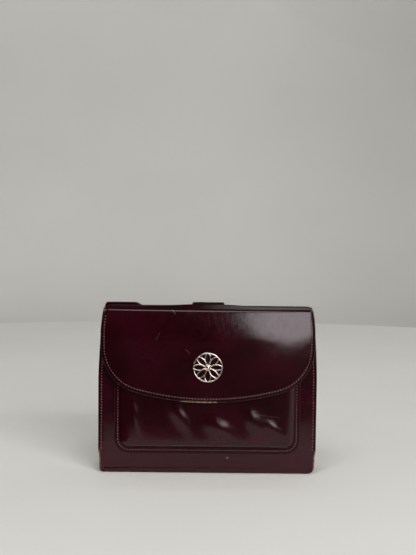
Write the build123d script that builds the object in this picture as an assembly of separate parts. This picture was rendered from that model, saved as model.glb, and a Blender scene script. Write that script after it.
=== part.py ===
"""Compact bifold wallet with a flap coin pocket on its front.

Two leather halves fold together on a flat spine strip at the bottom. The front half carries the
coin pocket, whose flap starts behind the half, bridges its top and hangs down the front. The back
half carries the card slots and a strap that folds over its top edge and snaps to the front half.
+X is the wallet's right as seen from the front, +Y runs from the flap to the back, +Z is up.
The origin is the middle of the bounding box, on the ground. Millimetres.
"""
from build123d import *
import math
import os

# ---------------------------------------------------------------- driving dimensions
WIDTH = 126.4  # widest, over the lower half of both covers
TOP_WIDTH = 122.0  # covers at their top edge
SPINE_WIDTH = 122.4  # underside of the spine strip
NOTCH = 0.5  # the covers' sides step in by this below the coin pocket
NOTCH_LOW = 11.2
NOTCH_HIGH = 12.4
TAPER_Z = 55.0  # above this the covers narrow to their top
COVER_CORNER_R = 3.5
FRONT_TOP = 94.6  # top edge of the front cover and its lining
BACK_TOP = 96.5  # top edge of the back cover
FOLD_R = 1.3  # outside radius of the two bottom folds
BODY_GAP = 0.3  # left between leather parts that move apart

# Every layer through the closed wallet at mid width, front to back.
STACK = (
    ("emblem", 1.0),
    ("flap_leather", 1.2),
    ("flap_lining", 0.6),
    ("flap_clearance", 0.8),
    ("pocket_leather", 1.2),
    ("pocket_lining", 0.5),
    ("coin_space", 4.4),
    ("pocket_back_lining", 0.5),
    ("front_cover", 1.2),
    ("front_board", 0.6),
    ("front_bill_space", 3.4),
    ("front_lining", 0.7),
    ("slip_pocket", 0.8),
    ("halves_gap", 6.8),
    ("card_slots", 3.6),
    ("back_lining", 0.7),
    ("back_bill_space", 1.6),
    ("bill_divider", 0.5),
    ("rear_bill_space", 1.0),
    ("back_board", 0.6),
    ("back_cover", 1.2),
    ("strap", 1.4),
    ("strap_stitching", 0.3),
)

FLAP_HALF = 61.6  # half width of the flap below its shoulders
FLAP_TOP_HALF = 59.4  # half width at the crease
FLAP_SHOULDER_Z = 80.0  # where the flap starts to narrow towards the crease
FLAP_SHOULDER_R = 20.0
FLAP_BOTTOM = 43.0  # lowest point of the flap's curved edge
FLAP_ARC_R = 165.0  # radius of that edge
FLAP_CORNER_R = 27.0
FLAP_BEND_Z = 79.0  # above this the flap leans back to the crease
FLAP_BOW = 4.5  # how far the flap's sides stand behind its middle
CREASE_BOW = 1.5
CREASE_SETBACK = 3.2  # crease behind the flap's lower face
CREASE_TOP = 95.8  # top of the bridge at the crease
BRIDGE_TOP = 98.0  # top of the bridge at its root
BRIDGE_REAR_SETBACK = 0.7  # bridge's rear end behind the front lining
FLAP_ROOT_BOTTOM = 87.4  # lower edge of the flap's sewn end, inside the wallet
FLAP_ROOT_RISE = 1.1  # its top above the front cover
FLAP_ROOT_HALF = 58.0

POCKET_HALF = 53.6
POCKET_BOTTOM = 12.0
POCKET_TOP = 74.0
POCKET_CORNER_R = 8.5
POCKET_FLANGE = 3.0  # sewn rim round the raised middle of the pocket

EMBLEM_R = 8.5
EMBLEM_Z = 63.6
EMBLEM_WIRE = 0.75
EMBLEM_PETALS = 8
PRONG_R = 0.36

SNAP_Z = 51.6  # flap snap
STRAP_SNAP_Z = 81.5
SNAP_R = 5.0
STUD_BASE_R = 4.5
STUD_R = 1.7
SOCKET_HOLE_R = 2.1
POST_R = 1.2

STRAP_HALF = 9.5
STRAP_LEATHER = 0.9  # the rest of the strap's thickness is lining
STRAP_REAR_BOTTOM = 68.0
STRAP_END_BOTTOM = 73.0
STRAP_LIFT = 0.2  # strap above the back half's top edge
STRAP_END_SETBACK = 3.0  # front face of the hanging end, behind the front lining

LINING_HALF = TOP_WIDTH / 2 - 0.8
LINING_BOTTOM = 3.9
BINDING = 2.6  # width of the bound edges that close each note compartment
BOARD_HALF = 57.5
BOARD_BOTTOM = 8.0
BOARD_DROP = 3.0  # top of a board below the top of its cover
DIVIDER_RIGHT = 55.0
DIVIDER_DROP = 3.4
SLIP_HALF = 59.0
SLIP_TOP = 66.0
PANEL_BOTTOM = 5.0  # lower edge of the slip pocket, card slots and divider
SPINE_LINING_HALF = 60.0
SPINE_LINING_Z = (2.9, 3.5)

CARD_SLOTS = 4
CARD_STEP = 11.0
CARD_LEFT = -60.0
CARD_RIGHT = 30.0
CARD_TOP = 93.0

STITCH_PITCH = 1.8
STITCH_LENGTH = 1.3
STITCH_WIDTH = 0.45
STITCH_HEIGHT = 0.3
STITCH_INSET = 1.8
EDGE_SEAM_BOTTOM = 14.0
EDGE_SEAM_DROP = 3.6  # top of the covers' side seams below the cover's top

OUT = "parts"


# ---------------------------------------------------------------- layers and small helpers
def layer_spans():
    """Front and back Y of each layer of the closed wallet."""
    y = -sum(thick for _, thick in STACK) / 2
    spans = {}
    for name, thick in STACK:
        spans[name] = (y, y + thick)
        y += thick
    return spans


LAYER = layer_spans()
PRONG_X = EMBLEM_R - EMBLEM_WIRE / 2
COVER_FRONT, COVER_INSIDE = LAYER["front_cover"]
BACK_INSIDE, COVER_BACK = LAYER["back_cover"]
CREASE_Y = LAYER["flap_leather"][0] + CREASE_SETBACK
BRIDGE_REAR = LAYER["front_lining"][1] + BRIDGE_REAR_SETBACK
FLAP_THICK = LAYER["flap_lining"][1] - LAYER["flap_leather"][0]
PANEL_TOP = CREASE_TOP - FLAP_THICK - BODY_GAP
STRAP_END_FRONT = LAYER["front_lining"][1] + STRAP_END_SETBACK
STRAP_THICK = LAYER["strap"][1] - LAYER["strap"][0]
COVER_THICK = COVER_INSIDE - COVER_FRONT


def thickness(name):
    """Thickness of a layer."""
    return LAYER[name][1] - LAYER[name][0]


def box(x0, x1, y0, y1, z0, z1):
    """A block between two corners."""
    middle = Pos((x0 + x1) / 2, (y0 + y1) / 2, (z0 + z1) / 2)
    return middle * Box(x1 - x0, y1 - y0, z1 - z0)


def disc(x, z, radius, y0, y1):
    """A round plate or post along Y."""
    return Pos(x, (y0 + y1) / 2, z) * Rot(90, 0, 0) * Cylinder(radius, y1 - y0)


def prism(face, y0=-20.0, y1=20.0):
    """A face drawn in X and Z, extruded from y0 to y1."""
    return extrude(Plane.XZ.offset(-y1) * face, y1 - y0)


def rounded_plate(x0, x1, y0, y1, z0, z1, radius):
    """A plate with four rounded corners seen from the front."""
    face = Pos((x0 + x1) / 2, (z0 + z1) / 2) * RectangleRounded(x1 - x0, z1 - z0, radius)
    return prism(face, y0, y1)


def cover_outline():
    """Outline of the covers and spine seen from the front: a slight taper to the top."""
    half = WIDTH / 2
    right = [(SPINE_WIDTH / 2, 0), (half - NOTCH, NOTCH_LOW), (half, NOTCH_HIGH)]
    right += [(half, TAPER_Z), (TOP_WIDTH / 2, BACK_TOP)]
    left = [(-x, z) for x, z in reversed(right)]
    face = make_face(Polyline(*right, *left, close=True))
    corners = face.vertices().sort_by(Axis.Y)
    return fillet(corners[:2] + corners[-2:], COVER_CORNER_R)


def flap_outline(inset=0.0):
    """Outline of the flap seen from the front, up to the crease."""
    half = FLAP_HALF - inset
    radius = FLAP_ARC_R - inset
    low = FLAP_BOTTOM + inset
    side_low = low + radius - math.sqrt(radius**2 - half**2)
    top_half = FLAP_TOP_HALF - inset
    edge = ThreePointArc((-half, side_low), (0, low), (half, side_low))
    rest = Polyline(
        (half, side_low),
        (half, FLAP_SHOULDER_Z),
        (top_half, CREASE_TOP),
        (-top_half, CREASE_TOP),
        (-half, FLAP_SHOULDER_Z),
        (-half, side_low),
    )
    face = make_face([*edge.edges(), *rest.edges()])
    face = fillet(face.vertices().sort_by(Axis.Y)[:2], FLAP_CORNER_R - inset)
    shoulders = [v for v in face.vertices() if abs(v.Y - FLAP_SHOULDER_Z) < 0.1]
    return fillet(shoulders, FLAP_SHOULDER_R)


def pocket_outline(inset=0.0, top=POCKET_TOP):
    """Outline of the coin pocket: square mouth, round bottom corners."""
    half = POCKET_HALF - inset
    low = POCKET_BOTTOM + inset
    face = Pos(0, (low + top) / 2) * Rectangle(2 * half, top - low)
    return fillet(face.vertices().sort_by(Axis.Y)[:2], POCKET_CORNER_R - inset)


def bow(y, sag, half=64.0):
    """An arc in plan whose ends stand sag behind its middle."""
    return ThreePointArc((-half, y + sag), (0, y), (half, y + sag))


def bow_band(y, thick, sag):
    """A curved band in plan, the section of a bowed sheet."""
    front, back = bow(y, sag), bow(y + thick, sag)
    ends = [Line(front @ 0, back @ 0), Line(front @ 1, back @ 1)]
    return make_face([*front.edges(), *back.edges(), *ends])


def flap_sheet(depth, thick):
    """The bowed sheet lying depth behind the flap's front face, before it is cut to outline."""
    y = LAYER["flap_leather"][0] + depth
    lower = Pos(0, 0, FLAP_BOTTOM - 2) * bow_band(y, thick, FLAP_BOW)
    bend = Pos(0, 0, FLAP_BEND_Z) * bow_band(y, thick, FLAP_BOW)
    crease = Pos(0, 0, PANEL_TOP) * bow_band(y + CREASE_SETBACK, thick, CREASE_BOW)
    straight = extrude(lower, FLAP_BEND_Z - FLAP_BOTTOM + 2)
    return straight + loft([bend, crease], ruled=True)


def bowed_fill(y):
    """Everything between a bowed face at y and the front cover, in front of it."""
    front = bow(y, FLAP_BOW)
    corners = [front @ 1, (64.0, COVER_FRONT), (-64.0, COVER_FRONT), front @ 0]
    face = make_face([*front.edges(), *Polyline(*corners).edges()])
    return extrude(face, 100)


def dashes(wire, skip=0.0):
    """Flat stitches along a wire drawn in X and Z, as one sketch of separate dashes."""
    length = wire.length - 2 * skip
    count = int(length // STITCH_PITCH)
    found = []
    for i in range(count):
        along = (skip + (i + 0.5) * length / count) / wire.length
        tangent = wire % along
        angle = math.degrees(math.atan2(tangent.Y, tangent.X))
        dash = SlotOverall(STITCH_LENGTH, STITCH_WIDTH)
        found.append(Pos(*(wire @ along)) * Rot(0, 0, angle) * dash)
    return found


def stitch_row(wire, y_front, skip=0.0):
    """Stitches lying on a flat face whose outside is at y_front."""
    return [prism(d, y_front, y_front + STITCH_HEIGHT) for d in dashes(wire, skip)]


def line_wire(*points):
    """A straight-sided wire through points in X and Z."""
    return Wire(Polyline(*points).edges())


# ---------------------------------------------------------------- covers and spine
def cover_ring():
    """Section in Y and Z of the one-piece cover leather: front, spine and back."""
    width = COVER_BACK - COVER_FRONT
    middle = (COVER_BACK + COVER_FRONT) / 2
    outer = Pos(middle, BACK_TOP / 2) * Rectangle(width, BACK_TOP)
    outer = fillet(outer.vertices().sort_by(Axis.Y)[:2], FOLD_R)
    inner_low = COVER_THICK
    inner = Pos(middle, (BACK_TOP + inner_low) / 2) * Rectangle(
        width - 2 * COVER_THICK, BACK_TOP - inner_low
    )
    return outer - fillet(inner.vertices().sort_by(Axis.Y)[:2], FOLD_R - COVER_THICK)


def corner_cut(y, turn):
    """A slit through a bottom fold, at 45 degrees, that parts the cover from the spine."""
    return Pos(y, FOLD_R) * Rot(0, 0, turn) * Rectangle(4 * FOLD_R, BODY_GAP)


def covers():
    """Front cover, spine strip and back cover, parted in the middle of each bottom fold."""
    ring = cover_ring()
    ring -= corner_cut(COVER_FRONT + FOLD_R, 45)
    ring -= corner_cut(COVER_BACK - FOLD_R, -45)
    ordered = sorted(ring.faces(), key=lambda f: f.center().X)
    outline = prism(cover_outline())
    solids = []
    for face in ordered:
        bar = extrude(Plane.YZ * face, WIDTH / 2 + 2, both=True)
        solids.append(bar & outline)
    front, spine, back = solids
    above = box(-WIDTH, WIDTH, COVER_FRONT - 1, 0, FRONT_TOP, BACK_TOP + 5)
    return front - above, spine, back


def lining(span, top):
    """Lining sheet of one half, the inner wall of its note compartment."""
    return box(-LINING_HALF, LINING_HALF, *span, LINING_BOTTOM, top)


def binding(y0, y1, top):
    """Bound left and top edges that join a lining to its cover; the right side stays open."""
    inner = -LINING_HALF + BINDING
    left = box(-LINING_HALF, inner, y0, y1, LINING_BOTTOM, top)
    across = box(inner, LINING_HALF, y0, y1, top - BINDING, top)
    return Compound([left, across])


def stiffener(layer, cover_top):
    """Board that stiffens one cover."""
    top = cover_top - BOARD_DROP
    return rounded_plate(-BOARD_HALF, BOARD_HALF, *LAYER[layer], BOARD_BOTTOM, top, 2.0)


def slip_pocket():
    """Open-topped pocket on the front half's lining."""
    return rounded_plate(-SLIP_HALF, SLIP_HALF, *LAYER["slip_pocket"], PANEL_BOTTOM, SLIP_TOP, 1.5)


def bill_divider():
    """Loose sheet that parts the back half's note compartment in two."""
    top = BACK_TOP - DIVIDER_DROP
    return box(-BOARD_HALF, DIVIDER_RIGHT, *LAYER["bill_divider"], PANEL_BOTTOM, top)


def spine_lining():
    """Inner strip that carries the note compartment across the spine."""
    y0 = LAYER["front_lining"][1] + BODY_GAP
    y1 = LAYER["back_lining"][0] - BODY_GAP
    return box(-SPINE_LINING_HALF, SPINE_LINING_HALF, y0, y1, *SPINE_LINING_Z)


def spine_rim():
    """Closed left end of the note compartment at the spine."""
    y0 = LAYER["front_lining"][1] + BODY_GAP
    y1 = LAYER["back_lining"][0] - BODY_GAP
    inner = -SPINE_LINING_HALF + BINDING
    return box(-SPINE_LINING_HALF, inner, y0, y1, COVER_THICK, SPINE_LINING_Z[0])


# ---------------------------------------------------------------- coin pocket
def pocket_front():
    """Moulded pocket leather: a sewn flange, a raised bowed middle and an open mouth."""
    front, inside = LAYER["pocket_leather"]
    wall = inside - front
    flange = prism(pocket_outline(), COVER_FRONT - wall, COVER_FRONT)
    raised = prism(pocket_outline(POCKET_FLANGE)) & bowed_fill(front)
    room = prism(pocket_outline(POCKET_FLANGE + wall, POCKET_TOP + 5)) & bowed_fill(inside)
    leather = flange + raised - room
    leather -= disc(0, SNAP_Z, STUD_BASE_R, front - 1, front + 0.4)
    leather -= disc(0, SNAP_Z, STUD_BASE_R, inside - 0.4, inside + 0.2)
    return leather - disc(0, SNAP_Z, POST_R, front, inside)


def pocket_lining():
    """Lining glued behind the pocket leather."""
    y, inside = LAYER["pocket_lining"]
    inset = POCKET_FLANGE + 1.3
    sheet = extrude(bow_band(y, inside - y, FLAP_BOW), 100)
    return prism(pocket_outline(inset)) & sheet


def pocket_back_lining():
    """Lining of the pocket's back wall, on the face of the front cover."""
    return prism(pocket_outline(POCKET_FLANGE + 1.3), *LAYER["pocket_back_lining"])


def pocket_stitching():
    """One row of thread round the pocket's flange, open at the mouth."""
    outline = pocket_outline(STITCH_INSET)
    edges = [e for e in outline.edges() if e.center().Y < POCKET_TOP - 0.5]
    wall = LAYER["pocket_leather"][1] - LAYER["pocket_leather"][0]
    return stitch_row(Wire(edges), COVER_FRONT - wall - STITCH_HEIGHT, 1.5)


# ---------------------------------------------------------------- flap
def flap_leather():
    """Outer leather of the hanging flap, with recesses for the snap cap and emblem washers."""
    leather = prism(flap_outline()) & flap_sheet(0, thickness("flap_leather"))
    back = LAYER["flap_leather"][1]
    leather -= disc(0, SNAP_Z, SNAP_R, back - 0.4, back + 0.5)
    for x in (-PRONG_X, PRONG_X):
        leather -= disc(x, EMBLEM_Z, PRONG_R + 0.05, back - 3, back + 1)
        leather -= disc(x, EMBLEM_Z, 2.0, back - 0.3, back + 0.5)
    return leather


def flap_lining():
    """Lining of the hanging flap, pierced for the snap socket."""
    depth = thickness("flap_leather")
    sheet = prism(flap_outline()) & flap_sheet(depth, thickness("flap_lining"))
    front, back = LAYER["flap_lining"]
    return sheet - disc(0, SNAP_Z, SNAP_R + 0.05, front - 1, back + 1)


def flap_stitching():
    """Thread round the flap's free edge, from crease to crease."""
    outline = flap_outline(STITCH_INSET)
    edges = [e for e in outline.edges() if e.center().Y < CREASE_TOP - 0.1]
    thread = flap_sheet(-STITCH_HEIGHT, STITCH_HEIGHT)
    rows = [prism(d) & thread for d in dashes(Wire(edges), 3.6)]
    return [solid for row in rows for solid in row.solids()]


def bridge_section(drop, thick):
    """Section in Y and Z of one layer of the bridge, drop below its top face."""
    y0, y1 = CREASE_Y, BRIDGE_REAR
    front, rear = CREASE_TOP - drop, BRIDGE_TOP - drop
    points = [(y0, front), (y1, rear), (y1, rear - thick), (y0, front - thick)]
    return make_face(Polyline(*points, close=True))


def bridge_layer(drop, thick):
    """One layer of the strip that carries the flap across the front half's top."""
    half = FLAP_TOP_HALF
    front = bow(CREASE_Y, CREASE_BOW, half)
    corners = [front @ 1, (half, BRIDGE_REAR), (-half, BRIDGE_REAR), front @ 0]
    plan = make_face([*front.edges(), *Polyline(*corners).edges()])
    column = Pos(0, 0, 80) * extrude(plan, 30)
    return extrude(Plane.YZ * bridge_section(drop, thick), half, both=True) & column


def flap_root():
    """The flap's sewn end, on the back of the front lining."""
    y0 = LAYER["front_lining"][1]
    y1 = y0 + thickness("flap_leather")
    top = FRONT_TOP + FLAP_ROOT_RISE
    return box(-FLAP_ROOT_HALF, FLAP_ROOT_HALF, y0, y1, FLAP_ROOT_BOTTOM, top)


def flap_root_stitching():
    """Seam through the flap's sewn end."""
    y = LAYER["front_lining"][1] + thickness("flap_leather")
    z = FLAP_ROOT_BOTTOM + 1.2
    end = FLAP_ROOT_HALF - 1.0
    return stitch_row(line_wire((-end, z), (end, z)), y)


def emblem():
    """Openwork rosette in a ring, with two prongs through the flap."""
    y0, y1 = LAYER["emblem"]
    ring = Circle(EMBLEM_R) - Circle(EMBLEM_R - EMBLEM_WIRE)
    pattern = ring
    long, short = 3.5, 1.75
    loop = Ellipse(long, short) - Ellipse(long - EMBLEM_WIRE, short - EMBLEM_WIRE)
    for i in range(EMBLEM_PETALS):
        angle = 360 / EMBLEM_PETALS * i
        pattern += Rot(0, 0, angle) * Pos(EMBLEM_R - EMBLEM_WIRE / 2 - long, 0) * loop
    pattern += Circle(1.35)
    badge = Pos(0, 0, EMBLEM_Z) * prism(pattern, y0, y1)
    for x in (-PRONG_X, PRONG_X):
        badge += disc(x, EMBLEM_Z, PRONG_R, y1 - 0.5, LAYER["flap_leather"][1])
    return badge


def emblem_washers():
    """Two washers that hold the emblem's prongs behind the flap leather."""
    back = LAYER["flap_leather"][1]
    rings = []
    for x in (-PRONG_X, PRONG_X):
        plate = disc(x, EMBLEM_Z, 1.95, back - 0.3, back)
        rings.append(plate - disc(x, EMBLEM_Z, PRONG_R + 0.03, back - 1, back + 1))
    return rings


# ---------------------------------------------------------------- snaps
def stud(z, y0, y1, tip, facing):
    """Male half of a snap: a thin base from y0 to y1 with a round-edged knob to tip."""
    base = disc(0, z, STUD_BASE_R - 0.05, y0, y1)
    ends = (tip, y1) if facing < 0 else (y0, tip)
    knob = disc(0, z, STUD_R, *ends)
    crown = knob.edges().filter_by(GeomType.CIRCLE).sort_by(Axis.Y)[0 if facing < 0 else -1]
    return base + fillet(crown, 0.35)


def socket(z, y0, y1):
    """Female half of a snap: a ring with a rounded rim."""
    ring = disc(0, z, SNAP_R, y0, y1) - disc(0, z, SOCKET_HOLE_R, y0 - 1, y1 + 1)
    outer = [e for e in ring.edges().filter_by(GeomType.CIRCLE) if e.radius > SNAP_R - 0.1]
    return fillet(outer, 0.3)


def pocket_snap():
    """Stud on the pocket and the post that holds it."""
    front, inside = LAYER["pocket_leather"]
    knob_tip = front - 1.2
    male = stud(SNAP_Z, front - 0.2, front + 0.4, knob_tip, -1)
    post = disc(0, SNAP_Z, POST_R - 0.02, front + 0.4, inside)
    post += disc(0, SNAP_Z, STUD_BASE_R - 0.05, inside - 0.4, inside)
    return male, post


def flap_snap():
    """Socket behind the flap lining and the cap hidden between flap leather and lining."""
    back = LAYER["flap_leather"][1]
    return socket(SNAP_Z, back, back + 1.1), disc(0, SNAP_Z, SNAP_R - 0.05, back - 0.4, back)


def inner_snap():
    """Stud on the front half's lining, facing back, and its post in the note compartment."""
    front, back = LAYER["front_lining"]
    male = stud(STRAP_SNAP_Z, back, back + 0.4, back + 2.1, 1)
    post = disc(0, STRAP_SNAP_Z, POST_R - 0.02, front, back)
    post += disc(0, STRAP_SNAP_Z, STUD_BASE_R - 0.05, front - 0.4, front)
    return male, post


def strap_snap():
    """Socket on the front of the strap's end and the cap on its back."""
    y0 = STRAP_END_FRONT
    female = socket(STRAP_SNAP_Z, y0 - 1.7, y0)
    cap = disc(0, STRAP_SNAP_Z, SNAP_R, y0 + STRAP_THICK - 0.4, y0 + STRAP_THICK + 0.3)
    rear = cap.edges().filter_by(GeomType.CIRCLE).sort_by(Axis.Y)[-1]
    return female, fillet(rear, 0.25)


# ---------------------------------------------------------------- strap
def strap_plan():
    """The strap's sewn end seen from behind, with a rounded lower edge."""
    low, high = STRAP_REAR_BOTTOM, BACK_TOP - BODY_GAP
    face = Pos(0, (low + high) / 2) * Rectangle(2 * STRAP_HALF, high - low)
    return fillet(face.vertices().sort_by(Axis.Y)[:2], 5.0)


def strap_layers(front_y, back_y):
    """Leather and lining thickness of the strap, split between two planes in Y."""
    split = back_y - STRAP_LEATHER
    return (split, back_y), (front_y, split)


def strap_root():
    """Leather and lining of the strap's sewn end, flat on the back cover."""
    outer, inner = strap_layers(*LAYER["strap"])
    return prism(strap_plan(), *outer), prism(strap_plan(), *inner)


def strap_bridge():
    """Leather and lining of the part of the strap that lies over the back half's top edge."""
    top = BACK_TOP + STRAP_THICK
    split = top - STRAP_LEATHER
    y0, y1 = STRAP_END_FRONT, LAYER["strap"][1]
    outer = box(-STRAP_HALF, STRAP_HALF, y0, y1, split, top)
    inner = box(-STRAP_HALF, STRAP_HALF, y0, y1, BACK_TOP + STRAP_LIFT, split)
    return outer, inner


def strap_end_plan():
    """The strap's free end seen from the front."""
    low, high = STRAP_END_BOTTOM, BACK_TOP - BODY_GAP
    face = Pos(0, (low + high) / 2) * Rectangle(2 * STRAP_HALF, high - low)
    return fillet(face.vertices().sort_by(Axis.Y)[:2], 8.0)


def strap_end():
    """Leather and lining of the strap's free end, pierced and recessed for its snap."""
    y0 = STRAP_END_FRONT
    y1 = y0 + STRAP_THICK
    outer = prism(strap_end_plan(), y0, y0 + STRAP_LEATHER)
    inner = prism(strap_end_plan(), y0 + STRAP_LEATHER, y1)
    recess = disc(0, STRAP_SNAP_Z, SNAP_R + 0.05, y1 - 0.4, y1 + 1)
    return outer, inner - recess


def strap_stitching():
    """Box of stitches that sews the strap to the back cover."""
    inset = 1.6
    half = STRAP_HALF - inset
    low, high = STRAP_REAR_BOTTOM + 4.2, STRAP_REAR_BOTTOM + 16
    path = line_wire((-half, high), (-half, low), (half, low), (half, high), (-half, high))
    return stitch_row(path, LAYER["strap_stitching"][0])


# ---------------------------------------------------------------- cards, stitching
def card_slots():
    """Stepped card slot panels, the shortest in front."""
    y0 = LAYER["card_slots"][0]
    thick = thickness("card_slots") / CARD_SLOTS
    panels = []
    for i in range(CARD_SLOTS):
        right = CARD_RIGHT - CARD_STEP * (CARD_SLOTS - 1 - i)
        y = y0 + i * thick
        panels.append(rounded_plate(CARD_LEFT, right, y, y + thick, PANEL_BOTTOM, CARD_TOP, 1.5))
    return panels


def card_slot_stitching():
    """One row of thread along the closed end of the card slots."""
    x = CARD_LEFT + 1.6
    wire = line_wire((x, PANEL_BOTTOM + 2), (x, CARD_TOP - 2))
    return stitch_row(wire, LAYER["card_slots"][0] - STITCH_HEIGHT)


def edge_stitching(y_front, top):
    """Thread down both sides of a cover, parallel to its tapering edge."""
    x_low, x_top = WIDTH / 2 - STITCH_INSET, TOP_WIDTH / 2 - STITCH_INSET
    rows = []
    for side in (-1, 1):
        points = [(side * x_low, EDGE_SEAM_BOTTOM), (side * x_low, TAPER_Z)]
        points.append((side * x_top, top - EDGE_SEAM_DROP))
        rows += stitch_row(line_wire(*points), y_front)
    return rows


# ---------------------------------------------------------------- the whole wallet
def wallet():
    """Every sub-part by node name."""
    front_cover, spine_cover, back_cover = covers()
    pocket_stud, pocket_post = pocket_snap()
    flap_socket, flap_cap = flap_snap()
    inner_stud, inner_post = inner_snap()
    strap_socket, strap_cap = strap_snap()
    root_leather, root_lining = strap_root()
    over_leather, over_lining = strap_bridge()
    end_leather, end_lining = strap_end()
    front_lining = lining(LAYER["front_lining"], FRONT_TOP)
    front_lining -= disc(0, STRAP_SNAP_Z, POST_R, *LAYER["front_lining"])
    front_gap = (COVER_INSIDE, LAYER["front_lining"][0])
    back_gap = (LAYER["back_lining"][1], BACK_INSIDE)
    leather, cloth = thickness("flap_leather"), thickness("flap_lining")
    parts = {
        "front_cover": front_cover,
        "front_board": stiffener("front_board", FRONT_TOP),
        "front_lining": front_lining,
        "front_binding": binding(*front_gap, FRONT_TOP),
        "slip_pocket": slip_pocket(),
        "coin_pocket_leather": pocket_front(),
        "coin_pocket_lining": pocket_lining(),
        "coin_pocket_back_lining": pocket_back_lining(),
        "coin_pocket_stitching": Compound(pocket_stitching()),
        "front_edge_stitching": Compound(edge_stitching(COVER_FRONT - STITCH_HEIGHT, FRONT_TOP)),
        "pocket_snap_stud": pocket_stud,
        "pocket_snap_post": pocket_post,
        "inner_snap_stud": inner_stud,
        "inner_snap_post": inner_post,
        "flap_root": flap_root(),
        "flap_root_stitching": Compound(flap_root_stitching()),
        "flap_bridge_leather": bridge_layer(0, leather),
        "flap_bridge_lining": bridge_layer(leather, cloth),
        "flap_leather": flap_leather(),
        "flap_lining": flap_lining(),
        "flap_stitching": Compound(flap_stitching()),
        "emblem": emblem(),
        "emblem_washers": Compound(emblem_washers()),
        "flap_snap_socket": flap_socket,
        "flap_snap_cap": flap_cap,
        "spine_cover": spine_cover,
        "spine_lining": spine_lining(),
        "spine_rim": spine_rim(),
        "back_cover": back_cover,
        "back_board": stiffener("back_board", BACK_TOP),
        "back_lining": lining(LAYER["back_lining"], BACK_TOP - 0.4),
        "back_binding": binding(*back_gap, BACK_TOP - 0.4),
        "bill_divider": bill_divider(),
        "card_slot_stitching": Compound(card_slot_stitching()),
        "back_edge_stitching": Compound(edge_stitching(COVER_BACK, BACK_TOP)),
        "strap_root_leather": root_leather,
        "strap_root_lining": root_lining,
        "strap_bridge_leather": over_leather,
        "strap_bridge_lining": over_lining,
        "strap_stitching": Compound(strap_stitching()),
        "strap_end_leather": end_leather,
        "strap_end_lining": end_lining,
        "strap_snap_socket": strap_socket,
        "strap_snap_cap": strap_cap,
    }
    for i, panel in enumerate(card_slots(), 1):
        parts[f"card_slot_{i}"] = panel
    return parts


os.makedirs(OUT, exist_ok=True)
for name, shape in wallet().items():
    export_step(shape, f"{OUT}/{name}.step")
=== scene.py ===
"""The look of a compact bifold wallet with a flap coin pocket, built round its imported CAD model.

Pieces are made in millimetres from the boxes of their CAD nodes and scaled to metres at the end.
A leather piece is a sheet: an outline in flat coordinates (u across, v along), a surface that says
where each flat point lies on the wallet, and rims that round and groove its edge.
"""
import math
import random

import bpy
import numpy as np
from mathutils import Euler, Matrix, Vector


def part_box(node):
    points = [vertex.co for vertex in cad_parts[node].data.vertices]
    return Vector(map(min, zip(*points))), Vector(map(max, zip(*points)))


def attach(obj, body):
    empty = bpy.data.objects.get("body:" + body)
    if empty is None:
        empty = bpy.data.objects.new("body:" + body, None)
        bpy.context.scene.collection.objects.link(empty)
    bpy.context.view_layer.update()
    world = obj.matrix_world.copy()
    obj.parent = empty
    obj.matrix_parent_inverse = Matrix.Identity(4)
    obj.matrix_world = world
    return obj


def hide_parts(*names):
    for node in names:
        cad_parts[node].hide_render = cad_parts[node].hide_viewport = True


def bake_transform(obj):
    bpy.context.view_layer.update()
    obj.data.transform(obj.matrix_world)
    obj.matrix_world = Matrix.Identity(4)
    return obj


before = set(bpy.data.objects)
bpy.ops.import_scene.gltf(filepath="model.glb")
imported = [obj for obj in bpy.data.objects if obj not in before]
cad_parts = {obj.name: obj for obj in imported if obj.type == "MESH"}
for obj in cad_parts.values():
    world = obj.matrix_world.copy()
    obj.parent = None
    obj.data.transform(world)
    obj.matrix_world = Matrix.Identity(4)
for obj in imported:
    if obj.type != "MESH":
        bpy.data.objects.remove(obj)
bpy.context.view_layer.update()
DRAW = random.Random(11)


def extent(node):
    """Lowest and highest corner of a CAD node, in millimetres."""
    low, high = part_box(node)
    return np.array(low) * 1000, np.array(high) * 1000


# ---------------------------------------------------------------- dimensions, from the CAD
FLAP_LOW, FLAP_HIGH = extent("flap_leather")
BRIDGE_HIGH = extent("flap_bridge_leather")[1]
ROOT_LOW, ROOT_HIGH = extent("flap_root")
FRONT_LOW, FRONT_HIGH = extent("front_cover")
BACK_HIGH = extent("back_cover")[1]
POCKET_LOW, POCKET_HIGH = extent("coin_pocket_leather")
STRAP_LOW, STRAP_HIGH = extent("strap_root_leather")
TAB_LOW = extent("strap_end_leather")[0]
OVER_HIGH = extent("strap_bridge_leather")[1]
STRAP_INNER = extent("strap_root_lining")[0][1]
EMBLEM_LOW, EMBLEM_HIGH = extent("emblem")
SNAP_Z = (extent("flap_snap_cap")[0][2] + extent("flap_snap_cap")[1][2]) / 2
EMBLEM_Z = (EMBLEM_LOW[2] + EMBLEM_HIGH[2]) / 2
MID_Y = (FRONT_LOW[1] + BACK_HIGH[1]) / 2

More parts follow.
